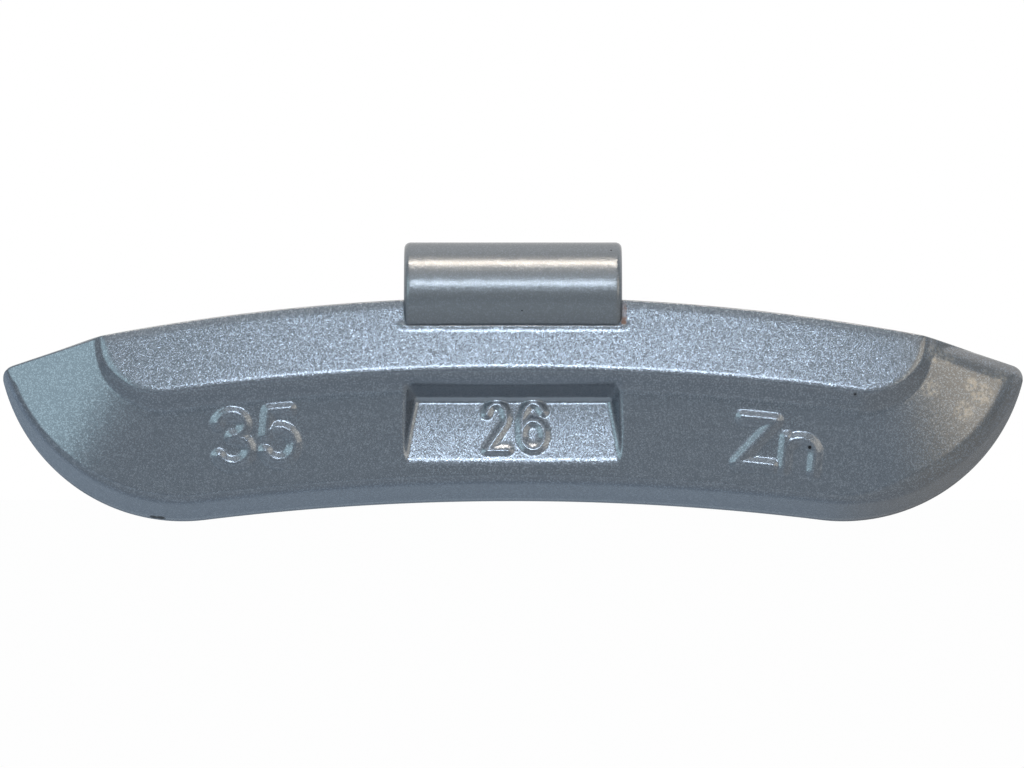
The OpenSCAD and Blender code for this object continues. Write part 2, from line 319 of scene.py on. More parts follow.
def tube_mesh(name, rings):
    """A closed mesh of rings carried along a line: ring i, point j is a corner of the face from
    i to i + 1 and from j to j + 1, and the middle of each end ring is a pole."""
    count, around = rings.shape[:2]
    corner = np.arange(count * around).reshape(count, around)
    after = np.roll(corner, -1, axis=1)
    quads = np.stack([corner[:-1], corner[1:], after[1:], after[:-1]], axis=-1).reshape(-1, 4)
    first, last = count * around, count * around + 1
    start_fan = np.stack([np.full(around, first), corner[0], after[0]], axis=-1)
    end_fan = np.stack([corner[-1], np.full(around, last), after[-1]], axis=-1)
    poles = np.stack([rings[0].mean(axis=0), rings[-1].mean(axis=0)])
    points = np.concatenate([rings.reshape(-1, 3), poles]) * MM
    mesh = bpy.data.meshes.new(name)
    faces = [*quads.tolist(), *start_fan.tolist(), *end_fan.tolist()]
    mesh.from_pydata(points.tolist(), [], faces)
    mesh.shade_smooth()
    mesh.validate()
    return mesh


# The raised signs

def bow(x, z, rx, rz, start, end):
    """Points of an oval arc: centre plus its two radii times the cosine and sine of the angle."""
    turns = np.radians(np.linspace(start, end, BOW_POINTS))
    return list(zip(x + rx * np.cos(turns), z + rz * np.sin(turns)))


def sign_strokes(sign):
    """Middle lines of a sign's strokes, in a box one wide and one high."""
    return {
        "2": [bow(0.48, 0.71, 0.46, 0.29, 165, -32) + [(0.02, 0), (1, 0)]],
        "3": [bow(0.46, 0.765, 0.45, 0.235, 162, -90) + bow(0.46, 0.265, 0.52, 0.265, 90, -162)],
        "5": [[(0.9, 1), (0.2, 1)] + bow(0.46, 0.32, 0.52, 0.32, 142, -160)],
        "6": [bow(0.5, 0.31, 0.48, 0.31, 180, -180), bow(0.53, 0.5, 0.51, 0.5, 38, 200)],
        "Z": [[(0.04, 1), (0.95, 1), (0, 0), (1, 0)]],
        "n": [[(0, 0), (0, 1)], [(0, 0.55)] + bow(0.5, 0.6, 0.5, 0.4, 170, 0) + [(1, 0)]],
    }[sign]


# Sign, middle of its box, width and height over all, and turn in degrees
WEIGHT_AND_METAL = (
    ("3", -21.85, -11.1, 3.15, 4.7, 5),
    ("5", -18.25, -10.85, 3.1, 4.7, 5),
    ("Z", 19.1, -11.35, 3.6, 4.3, -6),
    ("n", 22.45, -12.35, 3.1, 3.1, -6),
)
POCKET_DIGITS = (
    ("2", -1.26, -10.2, 2.25, 4.2, 1),
    ("6", 1.55, -10.15, 2.45, 4.2, 1),
)


def stroke_distance(x, z, points):
    """Distance in plan to a line through points: the least of those to its straight steps."""
    nearest = np.full(x.shape, np.inf)
    for (ax, az), (bx, bz) in zip(points, points[1:]):
        dx, dz = bx - ax, bz - az
        t = np.clip(((x - ax) * dx + (z - az) * dz) / (dx * dx + dz * dz), 0, 1)
        nearest = np.minimum(nearest, np.hypot(x - ax - t * dx, z - az - t * dz))
    return nearest


def sign_relief(x, z, signs, half_w, rise):
    """Height of raised signs: over each stroke the rise times the squared cosine of a quarter turn
    from its middle line to its edge."""
    nearest = np.full(x.shape, np.inf)
    for sign, middle_x, middle_z, width, height, turn in signs:
        turn = math.radians(turn)
        across = (x - middle_x) * math.cos(turn) + (z - middle_z) * math.sin(turn)
        up = (z - middle_z) * math.cos(turn) - (x - middle_x) * math.sin(turn)
        wide, high = width - half_w, height - half_w
        for points in sign_strokes(sign):
            line = [((px - 0.5) * wide, (pz - 0.5) * high) for px, pz in points]
            nearest = np.minimum(nearest, stroke_distance(across, up, line))
    return rise * np.cos(np.minimum(nearest / half_w, 1) * math.pi / 2) ** 2


# The casting

# Points along the tip's sloping edge, and how often the search for the depth halves its stretch
EDGE_POINTS, HALVINGS = 160, 26
# The lip's waves in radians to the millimetre: the short ones, their shift, and the long ones
LIP_SHORT, LIP_SHIFT, LIP_LONG = 1.9, 0.6, 0.83
# The pocket's rim gets sharper towards its lower edge: from how far above it, over what height
SILL_REACH, SILL_FADE = 3, 2
# The pocket floor's sag: the part that goes by the share, and the part by its power
SAG_EVEN, SAG_LATE, SAG_POWER = 0.75, 0.25, 4
# Depth of the walls' first row, the chamfer round the flat back, and its rows as multiples of it
EDGE_DEPTH, CHAMFER, CHAMFER_ROWS = 0.08, 0.07, (4, 1)
# Lengths along the lower edge from its middle, each with the step between the sections before it
SECTION_BANDS = ((3.2, 0.11), (7.0, 0.3), (9.4, 0.11), (15.6, 0.3), (24.8, 0.11), (33.5, 0.21))
# The same as the tip comes near, counted back from its middle
TIP_BANDS = ((0.4, 0.3), (0.02, 0.05))
# Length from the middle past which the sections fan out round the tip, and by what power
FAN_START, FAN_POWER = 12, 1.5
# Shares of the lower and the top edge's place at which a section looks for the ridge
LOW_PULL, TOP_PULL = 0.35, 0.65


def outline_half(c):
    """The right half of the back's outline, from the lower edge's middle round the tip to the top
    edge's middle: lower arc, end arc, tip arc, sloping edge and top arc. Gives the line and the
    length at which the tip's middle and the shoulder stand."""
    start = -math.pi / 2 - c.seam_angle
    tip_end = math.pi / 2 - c.tip_slope
    lower = arc(0, -c.axis_drop, c.inner_r, math.pi / 2, math.pi / 2 - c.seam_angle)
    end = arc(c.end_x, c.end_z, c.end_r, start, c.tip_turn)
    tip = arc(c.tip_x, c.tip_z, c.tip_r, c.tip_turn, tip_end)
    shoulder_turn = math.atan2(c.shoulder_z + c.top_r, c.shoulder_x)
    top = arc(0, -c.top_r, c.top_r, shoulder_turn, math.pi / 2)
    edge = np.linspace(tip[-1], top[0], EDGE_POINTS)
    line = np.concatenate([lower, end, tip, edge, top])
    to_tip = line_length(np.concatenate([lower, end])) + line_length(tip) / 2
    return line, to_tip, line_length(line) - line_length(top)


def plan_inset(c, x, z):
    """Distance in plan inside the outline of the drafted walls: from the lower arc between the
    seams and from the end arc past them, then from the sloping edge and the tip's arc."""
    side = np.abs(x)
    lower = np.hypot(x, z + c.axis_drop) - c.inner_r
    end = c.end_r - np.hypot(side - c.end_x, z - c.end_z)
    wall = np.where(np.arctan2(side, z + c.axis_drop) < c.seam_angle, lower, end)
    slope_cos, slope_sin = math.cos(c.tip_slope), math.sin(c.tip_slope)
    edge = (c.shoulder_x - side) * slope_sin + (c.shoulder_z - z) * slope_cos
    from_tip = np.arctan2(z - c.tip_z, side - c.tip_x)
    round_tip = (from_tip > c.tip_turn) & (from_tip < math.pi / 2 - c.tip_slope)
    tip = c.tip_r - np.hypot(side - c.tip_x, z - c.tip_z)
    return wall, np.where(round_tip, tip, edge)


def foot_lip(c, k, x, z):
    """Height of the zinc round the clip's foot: a rise by the square of how far a place is
    inside its width, which wanders by the product of two sine waves. Above the foot it ends
    sooner, and behind the strip the zinc sinks by a smooth step."""
    wave = k.lip_wave * np.sin(LIP_SHORT * x + LIP_SHIFT) * np.sin(LIP_LONG * x)
    past = np.maximum(k.foot_z - z, k.lip_fall * (z - k.foot_z))
    away = np.hypot(np.maximum(np.abs(x) - k.clip_w / 2, 0), past) + wave
    behind = smooth_step(1 + (z - k.foot_z) / k.sink_run)
    behind = behind * smooth_step((k.clip_w / 2 - np.abs(x)) / k.edge_round)
    return k.lip_rise * np.clip(1 - away / k.lip_run, 0, 1) ** 2 - k.sink * behind


def pocket_distance(c, side, z, digits):
    """Gives the signed distance of the pocket's space as a function of depth: over its floor,
    under its upper wall and between its side walls. The floor sags by three quarters of its share
    and one quarter of the share to the power four."""
    up = z + c.pocket_bottom
    share = np.clip(up / (c.floor_top_z + c.pocket_bottom), 0, 1)
    sag = c.pocket_hollow * (SAG_EVEN * share + SAG_LATE * share**SAG_POWER)
    floor_depth = c.floor_low - up * math.tan(c.pocket_tilt) - sag + digits

    def distance(depth):
        floor = (floor_depth - depth) * math.cos(c.pocket_tilt)
        rise = (depth - c.floor_top_depth) * math.tan(c.pocket_soft_draft) - c.pocket_wall_in
        top = z - c.floor_top_z - rise
        sides = side - c.pocket_w / 2 + (c.floor_low - depth) * math.tan(c.pocket_side_draft)
        back = round_cut(floor, top * math.cos(c.pocket_soft_draft), c.floor_round)
        return round_cut(back, sides * math.cos(c.pocket_side_draft), c.floor_round)

    return distance


def facet_distance(c, k, x, z):
    """Gives the signed distance of the raised facet as a function of depth: its slope, cut by the
    wall under the ridge, which falls by a smooth step of its share of the run and then goes on
    down, divided by about the length of its gradient. Past the facet's end the wall turns about an
    axis that stands square on the slope. Along the top edge the slope falls off by the square of
    how far it reaches into the eased strip."""
    radius = np.hypot(x, z + c.axis_drop)
    slope_depth = c.ridge_depth - (radius - c.ridge_radius) * math.tan(c.facet_tilt)
    from_top = c.top_r - np.hypot(x, z + c.top_r)
    eased = c.ease_drop * np.clip(1 - from_top / c.ease_run, 0, 1) ** 2
    slope_depth = slope_depth + foot_lip(c, k, x, z) - eased
    turn = np.arctan2(np.abs(x), z + c.axis_drop) - c.facet_angle
    across = radius * np.sin(turn)
    beyond = radius * np.cos(turn) - c.ridge_radius - c.facet_corner_r
    tilt_cos, tilt_sin = math.cos(c.facet_tilt), math.sin(c.facet_tilt)

    def distance(depth):
        over = depth - c.facet_centre_depth
        height = beyond * tilt_sin + over * tilt_cos
        outward = np.hypot(across, beyond * tilt_cos - over * tilt_sin) - c.facet_plane_r
        straight = across < 0
        run = np.where(straight, c.ridge_radius - radius, outward * tilt_cos - height * tilt_sin)
        rise = np.where(straight, depth - c.ridge_depth, outward * tilt_sin + height * tilt_cos)
        share = np.maximum(run, 0) / (c.wall_run * c.wall_spread)
        past = np.maximum(share - 1, 0)
        # A smooth step of a share is as steep as six times the share times what is left of it
        steep = np.maximum(6 * share * (1 - share), past > 0) * c.ridge_rise / c.wall_run
        wall = (rise + c.ridge_rise * (smooth_step(share) + past)) / np.sqrt(1 + steep**2)
        return round_cut((depth - slope_depth) * tilt_cos, wall, c.ridge_round)

    return distance


def cast_depth(c, k, x, z):
    """Depth of the casting's front at places in plan: halving, over and over, the stretch in which
    the rounded signed distance of the whole casting comes to nothing. The outer edge's rounding
    goes from the walls' to the tip's by a smooth step of which of them is nearer."""
    side = np.abs(x)
    radius = np.hypot(x, z + c.axis_drop)
    signs = sign_relief(x, z, WEIGHT_AND_METAL, c.sign_half_w, c.sign_rise)
    digits = sign_relief(x, z, POCKET_DIGITS, c.digit_half_w, c.digit_rise)
    front_depth = front_depth_at(c, radius) + signs
    fall = (side - c.end_x) * math.cos(c.lobe_dir) + (z - c.end_z) * math.sin(c.lobe_dir)
    lobe_depth = c.front_depth - (fall - c.lobe_start) * math.tan(c.lobe_slope)
    under_depth = c.ridge_depth - c.facet_sink - (radius - c.ridge_radius) * math.tan(c.facet_tilt)
    lobe_round = np.where(x < 0, c.left_round, c.right_round)
    tip_round = np.where(x < 0, c.tip_edge_round, c.right_tip_round)
    tip_lean = np.where(x < 0, c.left_tip_draft, c.tip_draft)
    wall_inset, tip_inset = plan_inset(c, x, z)
    by_tip = smooth_step(0.5 + (wall_inset - tip_inset) / c.tip_blend)
    by_right = smooth_step((x - c.end_x) / c.shoulder_out)
    edge_round = c.edge_round + (c.right_edge_round - c.edge_round) * by_right
    top_gap = np.hypot(x, z + c.top_r) - c.top_r
    facet = facet_distance(c, k, x, z)
    pocket = pocket_distance(c, side, z, digits)
    low = smooth_step((SILL_REACH - z - c.pocket_bottom) / SILL_FADE)
    rim_round = c.pocket_round + (c.sill_round - c.pocket_round) * low

    def drafted(depth, inset, lean):
        """Signed distance of a wall that leans in by the tangent of its lean times the depth."""
        return (depth * np.tan(lean) - inset) * np.cos(lean)

    def distance(depth):
        base = round_cut(
            (depth - front_depth) * math.cos(c.front_tilt),
            (depth - lobe_depth) * math.cos(c.lobe_slope),
            lobe_round,
        )
        base = round_cut(base, (depth - under_depth) * math.cos(c.facet_tilt), c.foot_round)
        wall = drafted(depth, wall_inset, c.soft_draft)
        outer = np.maximum(wall, drafted(depth, tip_inset, tip_lean))
        base = round_cut(base, outer, edge_round + (tip_round - edge_round) * by_tip)
        outer = np.maximum(wall, drafted(depth, tip_inset, c.soft_top_draft))
        outer_round = c.edge_round + (c.top_round - c.edge_round) * by_tip
        body = round_join(base, round_cut(facet(depth), outer, outer_round), c.foot_round)
        body = round_cut(body, drafted(depth, -top_gap, c.soft_top_draft), c.top_round)
        return round_cut(body, -pocket(depth), rim_round)

    near, far = np.full(x.shape, -1.0), np.full(x.shape, 2 * c.ridge_depth)
    for _ in range(HALVINGS):
        middle = (near + far) / 2
        inside = distance(middle) < 0
        near, far = np.where(inside, middle, near), np.where(inside, far, middle)
    return np.maximum((near + far) / 2, 0.0)


def cast_rings(c, k):
    """The casting's sections from tip to tip. Section i joins a place on the lower edge to one on
    the top edge by a straight line in plan, divided at fractions that keep one row on the ridge,
    and goes back round the flat back by a small chamfer. Places and rows are closest together
    along the pocket, the facet's ends, the ridge and the top edge. The left half mirrors the
    right."""
    line, to_tip, to_shoulder = outline_half(c)
    whole = line_length(line)
    half = bands(*SECTION_BANDS, *((to_tip - left, step) for left, step in TIP_BANDS))
    low_place = np.concatenate([-half[:0:-1], half])
    gap = 2 * to_tip - whole
    late = np.clip((np.abs(low_place) - FAN_START) / (to_tip - FAN_START), 0, 1)
    top_place = whole - np.abs(low_place) + gap * late**FAN_POWER
    sense = np.sign(low_place)[:, None] * np.array([1, 0]) + np.array([0, 1])
    sense[np.abs(low_place) < TINY] = 1

    def ring_line(places, inset):
        """Places on the outline, moved inwards square to it, and mirrored for the left half."""
        at, way = even_line(line, places)
        inward = np.stack([-way[:, 1], way[:, 0]], axis=1)
        return (at + inward * inset[:, None]) * sense

    top_lean, low_lean = math.tan(c.soft_top_draft), math.tan(c.soft_draft)
    steep = np.where(top_place > to_shoulder, top_lean, low_lean)
    low_edge = ring_line(np.abs(low_place), np.full(low_place.shape, EDGE_DEPTH * low_lean))
    top_edge = ring_line(top_place, EDGE_DEPTH * steep)
    chamfer = np.full(low_place.shape, CHAMFER)

    # Heights above the lower edge, each with the step between the rows before it
    ridge_up = c.body_h - c.facet_h
    pocket_up = c.body_h - c.pocket_bottom
    rows = bands(
        (1.1, 0.28), (2.1, 0.085), (pocket_up - 0.4, 0.12), (pocket_up + 4.7, 0.1),
        (ridge_up - 2.4, 0.09), (ridge_up - 0.5, 0.12), (ridge_up + 0.4, 0.06), (13.1, 0.17),
        (14.3, 0.07), (15.3, 0.16), (c.body_h - 0.18, 0.06), (c.body_h, 0.035),
    ) / c.body_h
    ridge_row = ridge_up / c.body_h
    ridge_x = low_edge[:, 0] * LOW_PULL + top_edge[:, 0] * TOP_PULL
    ridge_x = np.clip(ridge_x, -c.end_x, c.end_x)
    ridge_z = np.sqrt(c.ridge_radius**2 - ridge_x**2) - c.axis_drop
    end_column = np.argmin(np.abs(top_edge[:, 0] - c.end_x))
    on_ridge = (ridge_z - low_edge[:, 1]) / (top_edge[:, 1] - low_edge[:, 1])
    on_ridge = np.where(np.abs(top_edge[:, 0]) > c.end_x, on_ridge[end_column], on_ridge)[:, None]
    share = np.where(
        rows < ridge_row,
        rows * on_ridge / ridge_row,
        on_ridge + (rows - ridge_row) * (1 - on_ridge) / (1 - ridge_row),
    )
    plan = low_edge[:, None] + (top_edge - low_edge)[:, None] * share[:, :, None]
    depth = cast_depth(c, k, plan[:, :, 0], plan[:, :, 1])
    front = np.stack([plan[:, :, 0], -depth, plan[:, :, 1]], axis=-1)

    def back_line(places, inset):
        """The same places as a row of points on the flat back, at no depth."""
        at = ring_line(places, inset)
        return np.stack([at[:, 0], np.zeros(len(at)), at[:, 1]], axis=-1)[:, None]

    low_back = [back_line(np.abs(low_place), chamfer * times) for times in CHAMFER_ROWS]
    top_back = [back_line(top_place, chamfer * times) for times in reversed(CHAMFER_ROWS)]
    return np.concatenate([*low_back, front, *top_back], axis=1)


# The clip

# Points along the strip's straight lengths and round each of its four corners
LEG_POINTS, DIVE_POINTS, SHANK_POINTS, CORNER_POINTS = 80, 16, 60, 8
# Steps between sections: at the leg's round end, along its round corners, and along the rest
END_L, END_STEP, CORNER_STEP, STRIP_STEP = 0.5, 0.04, 0.12, 0.13
# Distance of the faces' inner rows from the round corners, and what keeps the leg's end blunt
FLAT_MARGIN, BLUNT = 0.35, 0.01
# The corners' radius is at most this share of half the strip's thickness
CORNER_SHARE = 0.95


def clip_line(k):
    """Middle line of the strip as depth and height, from the leg's free end over the bend to the
    shank's end: flare arc, straight leg, bend arc, straight dive, turn arc and straight shank."""
    mid_r = k.bend_r - k.strip_t / 2
    lean_end = math.pi + k.leg_lean
    lean = np.array([math.sin(k.leg_lean), -math.cos(k.leg_lean)])
    lean_out = np.array([-math.cos(k.leg_lean), -math.sin(k.leg_lean)])
    bend = arc(0, k.bend_z, mid_r, lean_end, -k.wrap)
    flare_centre = bend[0] + k.leg_l * lean + k.flare_r * lean_out
    flare = arc(*flare_centre, k.flare_r, k.leg_lean - k.flare, k.leg_lean)
    dive = np.array([-math.sin(k.wrap), -math.cos(k.wrap)])
    dive_out = np.array([math.cos(k.wrap), -math.sin(k.wrap)])
    turn_centre = bend[-1] + k.dive_l * dive + k.turn_r * dive_out
    turn = arc(*turn_centre, k.turn_r, math.pi - k.wrap, math.pi)
    end = turn[-1] - np.array([0, k.shank_l])
    leg = np.linspace(flare[-1], bend[0], LEG_POINTS)
    run = np.linspace(bend[-1], turn[0], DIVE_POINTS)
    shank = np.linspace(turn[-1], end, SHANK_POINTS)
    return np.concatenate([flare, leg, bend, run, turn, shank])


def clip_rings(k):
    """The strip's sections: a rectangle with round corners, set square on the middle line. Near
    the leg's end it narrows in two round corners and thins to a round edge."""
    line = clip_line(k)
    total = line_length(line)
    places = bands((END_L, END_STEP), (k.leg_corner_r, CORNER_STEP), (total, STRIP_STEP))
    at, way = even_line(line, places)
    corner = np.clip(1 - places / k.leg_corner_r, 0, 1)
    half_w = k.clip_w / 2 - k.leg_corner_r * (1 - np.sqrt(1 - corner**2))
    nose = np.clip(1 - (places + BLUNT) / k.edge_round, 0, 1)
    half_t = k.strip_t / 2 * np.sqrt(1 - nose**2)
    r = np.minimum(k.edge_round, half_t * CORNER_SHARE)
    turns = np.linspace(90, 0, CORNER_POINTS)
    quarter = [(1, 1, 0), (1, -1, -90), (-1, -1, -180), (-1, 1, -270)]
    across, out = [], []
    for side, face, turn in quarter:
        theta = np.radians(turns + turn)
        arc_x = side * (half_w - r)[:, None] + r[:, None] * np.cos(theta)
        arc_out = face * (half_t - r)[:, None] + r[:, None] * np.sin(theta)
        inner_x = (side * (half_w - r - FLAT_MARGIN))[:, None]
        face_out = (face * half_t)[:, None]
        starts_flat = side == face
        across += [inner_x, arc_x] if starts_flat else [arc_x, inner_x]
        out += [face_out, arc_out] if starts_flat else [arc_out, face_out]
    across, out = np.concatenate(across, axis=1), np.concatenate(out, axis=1)
    normal = np.stack([-way[:, 1], way[:, 0]], axis=1)
    depth = at[:, :1] + normal[:, :1] * out
    height = at[:, 1:] + normal[:, 1:] * out
    return np.stack([across, -depth, height], axis=-1)


# Materials

class Wire:
    """An output of a node. Sums, products and a number less a wire add Math nodes to its tree."""

    def __init__(self, tree, socket):
        self.tree = tree
        self.socket = socket

    def math(self, operation, *values):
        """A Math node's result for wires or numbers."""
        return self.tree.node("ShaderNodeMath", {"operation": operation}, dict(enumerate(values)))

    def __add__(self, other):
        return self.math("ADD", self, other)

    def __mul__(self, other):
        return self.math("MULTIPLY", self, other)

    def __rsub__(self, other):
        return self.math("SUBTRACT", other, self)

    __radd__ = __add__
    __rmul__ = __mul__

    def most(self, other):
        """The greater of two values."""
        return self.math("MAXIMUM", self, other)

    def step(self, low, high):
        """Nought below low and one above high, with a smooth step between."""
        return self.tree.node(
            "ShaderNodeMapRange",
            {"interpolation_type": "SMOOTHSTEP"},
            {"Value": self, "From Min": low, "From Max": high},
        )


class ShaderTree:
    """A material's or the world's nodes, emptied, with one method that adds any node."""

    def __init__(self, owner):
        owner.use_nodes = True
        self.nodes = owner.node_tree.nodes
        self.links = owner.node_tree.links
        self.nodes.clear()

    def node(self, kind, settings=None, inputs=None, output=0):
        """Adds a node, sets its settings first and then its sockets, by name or place."""
        made = self.nodes.new(kind)
        for name, value in (settings or {}).items():
            setattr(made, name, value)
        for name, value in (inputs or {}).items():
            if isinstance(value, Wire):
                self.links.new(value.socket, made.inputs[name])
            else:
                made.inputs[name].default_value = value
        return Wire(self, made.outputs[output]) if made.outputs else made

    def mix(self, factor, first, second):
        """Mixes two colours."""
        return self.node(
            "ShaderNodeMix", {"data_type": "RGBA"}, {0: factor, 6: first, 7: second}, output=2
        )

    def axis(self, place, number):
        """One of a place's three numbers: 0 for X, 1 for Y and 2 for Z."""
        return self.node("ShaderNodeSeparateXYZ", {}, {0: place}, output=number)

    def vector(self, operation, *values, output=0):
        """A Vector Math node's result for places or numbers."""
        return self.node(
            "ShaderNodeVectorMath", {"operation": operation}, dict(enumerate(values)), output
        )

    def noise(self, place, scale):
        """Noise with a given number of waves to the metre."""
        return self.node("ShaderNodeTexNoise", {}, {"Vector": place, "Scale": scale, "Detail": 1})

    def inside_box(self, place, middle, half, soft):
        """One inside a box of given middle and half sides, with soft faces, in millimetres."""
        away = self.vector("SUBTRACT", place, [v * MM for v in middle])
        away = self.vector("ABSOLUTE", away)
        away = self.vector("SUBTRACT", away, [v * MM for v in half])
        farthest = self.axis(away, 0).most(self.axis(away, 1)).most(self.axis(away, 2))
        return 1 - farthest.step(-soft * MM, 0)

    def spots(self, place, spots):
        """One inside any of the round spots (x, y, z, radius in millimetres), fading past half
        their radius."""
        mask = None
        for *middle, radius in spots:
            away = self.vector("DISTANCE", place, [v * MM for v in middle], output=1)
            spot = 1 - away.step(0.5 * radius * MM, radius * MM)
            mask = spot if mask is None else mask.most(spot)
        return mask


def rgba(rgb):
    """A colour that hides what is behind it."""
    return (*rgb, 1)


# Dark chips and specks in the paint, as x, y, z and radius in millimetres
CAST_CHIPS = (
    (-28.25, -0.7, -17.35, 0.46), (-27.7, -0.75, -17.35, 0.5), (23.2, -4.85, -11.8, 0.2),
    (26.75, -4.95, -7.6, 0.26), (5.7, -4.65, -13.8, 0.15), (-6.4, -4.65, -13.8, 0.15),
)
CLIP_CHIPS = ((7.7, -2.3, 3.65, 0.11), (0.7, -4.3, -1.1, 0.08))
# Rusty brown with painted shade beside the clip's right edge above its foot, where the proud strip
# shades the zinc: x, y, z and radius in millimetres
RUST_AND_SHADE_SPOTS = (
    (8.7, -3.4, -0.6, 0.26), (8.7, -3.5, -0.95, 0.3), (8.68, -3.6, -1.3, 0.28),
    (8.7, -3.72, -1.65, 0.3), (8.66, -3.85, -2.0, 0.28),
)
# Pale patches on the right lobe
PALE_PATCHES = (
    (33.1, -3.2, -4.4, 1.0), (34.1, -3.0, -4.6, 0.9), (32.8, -4.0, -7.1, 1.1),
    (38.4, -2.0, -6.2, 0.8), (37.3, -2.5, -5.9, 0.6), (36.7, -2.9, -7.6, 1.2),
    (35.4, -3.6, -8.9, 1.1), (36.0, -3.0, -6.9, 0.8), (32.8, -4.7, -13.15, 0.35),
)
# The pocket's upper and right walls, which lie in shade, where painted light makes the paint paler:
# middle, half sides and soft rim
POCKET_TOP_PAINTED_LIGHT = ((0, -3.6, -7.35), (8.6, 0.95, 0.95), 0.35)
POCKET_SIDE_PAINTED_LIGHT = ((8.6, -4.0, -10.0), (0.65, 0.6, 3.1), 0.3)
# How much of the painted light on the pocket's walls, of the pale patches and of the rusty brown
# with painted shade shows in its place
PAINTED_LIGHT_SHARE, PALE_PATCH_SHARE, RUST_AND_SHADE_SHARE = 0.9, 0.5, 0.85
# Where the painted reflection of the warmer light on the right end starts, and where it is full
WARM_FROM, WARM_TO = 29 * MM, 34 * MM
# Sizes of the casting's grain, its fine grain and its long waves, and their heights to the first's
GRAIN, FINE_GRAIN, LONG_WAVES = 1.1 * MM, 0.3 * MM, 6 * MM
FINE_HEIGHT, WAVES_HEIGHT = 0.3, 2
# Levels of the flakes and grains at which bright flakes, pale patches and rusty brown with painted
# shade start, and where they are full
BRIGHT_FLAKES, PALE_PATCH_GRAIN, RUST_AND_SHADE_GRAIN = (0.5, 1), (0.3, 0.75), (0.3, 0.6)
# How metallic the paint is, what bare metal takes from that, and how much rougher it is
METALLIC, BARE_LOSS, BARE_ROUGHNESS = 0.74, 0.6, 0.3
COAT_ROUGHNESS = 0.17
SPECULAR_TINT = (0.45, 0.45, 0.45, 1)
OWN_LOOKS = ("paint", "sparkle", "lean", "roughness", "coat", "peel")


def silver_paint(piece, looks, chips):
    """Metallic paint: flakes that each lean their own way and shine their own brightness, over a
    fine cast grain, under a clear coat, with dark chips where the paint is gone and rusty brown
    with painted shade beside the clip's foot. A painted reflection of the warmer light from the
    right makes it warmer at the right end, and painted light makes it paler on the pocket's upper
    and right walls, which lie in shade. The piece's own looks are those that start with its short
    name."""
    own = (getattr(looks, f"{piece}_{look}") for look in OWN_LOOKS)
    base, sparkle, lean_by, roughness, coat, peel = own
    material = bpy.data.materials.new(f"{piece}_paint")
    tree = ShaderTree(material)
    place = tree.node("ShaderNodeTexCoord", output=3)
    flakes = {"Vector": place, "Scale": 1 / looks.flake_size, "Randomness": 1}
    flake = tree.node("ShaderNodeTexVoronoi", {}, flakes, output=1)
    lean = tree.vector("SUBTRACT", flake, (0.5, 0.5, 0.5))
    lean = tree.vector("MULTIPLY", lean, (lean_by,) * 3)
    grain = tree.noise(place, 1 / GRAIN)
    fine = tree.noise(place, 1 / FINE_GRAIN)
    waves = tree.noise(place, 1 / LONG_WAVES)
    height = grain + FINE_HEIGHT * fine + WAVES_HEIGHT * waves
    bump = tree.node("ShaderNodeBump", {}, {"Strength": 1, "Distance": peel, "Height": height})
    normal = tree.vector("NORMALIZE", tree.vector("ADD", bump, lean))
    sheen = tree.node("ShaderNodeSeparateColor", {}, {0: flake}, output=1)
    # Painted reflection: the base colour turns warmer at the right end, like the light from the
    # right
    right = tree.axis(place, 0).step(WARM_FROM, WARM_TO)
    tint = tree.mix(right, rgba(base), rgba(looks.warm))
    # Painted light: the pocket's upper and right walls lie in shade and are lightened towards the
    # flake colour
    pale = tree.inside_box(place, *POCKET_TOP_PAINTED_LIGHT).most(tree.inside_box(place, *POCKET_SIDE_PAINTED_LIGHT))
    bright = (sheen.step(*BRIGHT_FLAKES) * sparkle).most(pale * PAINTED_LIGHT_SHARE)
    tint = tree.mix(bright, tint, rgba(looks.flake))
    # Pale patches on the right lobe, broken by the fine grain
    dry = tree.spots(place, PALE_PATCHES) * fine.step(*PALE_PATCH_GRAIN)
    tint = tree.mix(dry * PALE_PATCH_SHARE, tint, rgba(looks.dry))
    # Rusty brown with painted shade beside the clip's foot, where the paint is also duller
    rust = tree.spots(place, RUST_AND_SHADE_SPOTS) * grain.step(*RUST_AND_SHADE_GRAIN)
    tint = tree.mix(rust * RUST_AND_SHADE_SHARE, tint, rgba(looks.rust))
    chip = tree.spots(place, chips)
    tint = tree.mix(chip, tint, rgba(looks.chip))
    bare = rust.most(chip)
    shader = tree.node(
        "ShaderNodeBsdfPrincipled",
        {},
        {
            "Base Color": tint,
            "Metallic": METALLIC - BARE_LOSS * bare,
            "Roughness": roughness + BARE_ROUGHNESS * bare,
            "Normal": normal,
            "Coat Weight": coat - coat * bare,
            "Coat Roughness": COAT_ROUGHNESS,
            "Specular Tint": SPECULAR_TINT,
        },
    )
    tree.node("ShaderNodeOutputMaterial", {}, {"Surface": shader})
    return material


def seen_rays(tree):
    """Two masks: one for rays from the camera, one for rays from a mirror or through glass."""
    path = tree.node("ShaderNodeLightPath").socket.node.outputs
    glossy, through = Wire(tree, path["Is Glossy Ray"]), Wire(tree, path["Is Transmission Ray"])
    return Wire(tree, path["Is Camera Ray"]), glossy.most(through)


WHITE = (1, 1, 1, 1)
# Distance from the middle to each side of the floor, in metres
FLOOR_REACH = 3.0
# Where the floor's tints change, in metres from and to: under the body, towards it, to the right
FLOOR_UNDER, FLOOR_TOWARDS, FLOOR_RIGHT = (-0.07, 0.1), (-0.13, -0.05), (0.012, 0.045)
# Share of the right tint in the lit floor, and share of its glow in what the camera sees
RIGHT_SHARE, GLOW_SHARE = 0.6, 0.985
# From which direction along Y the world turns white to mirrors, and where it is full
WORLD_BEHIND = (-0.1, 0.5)


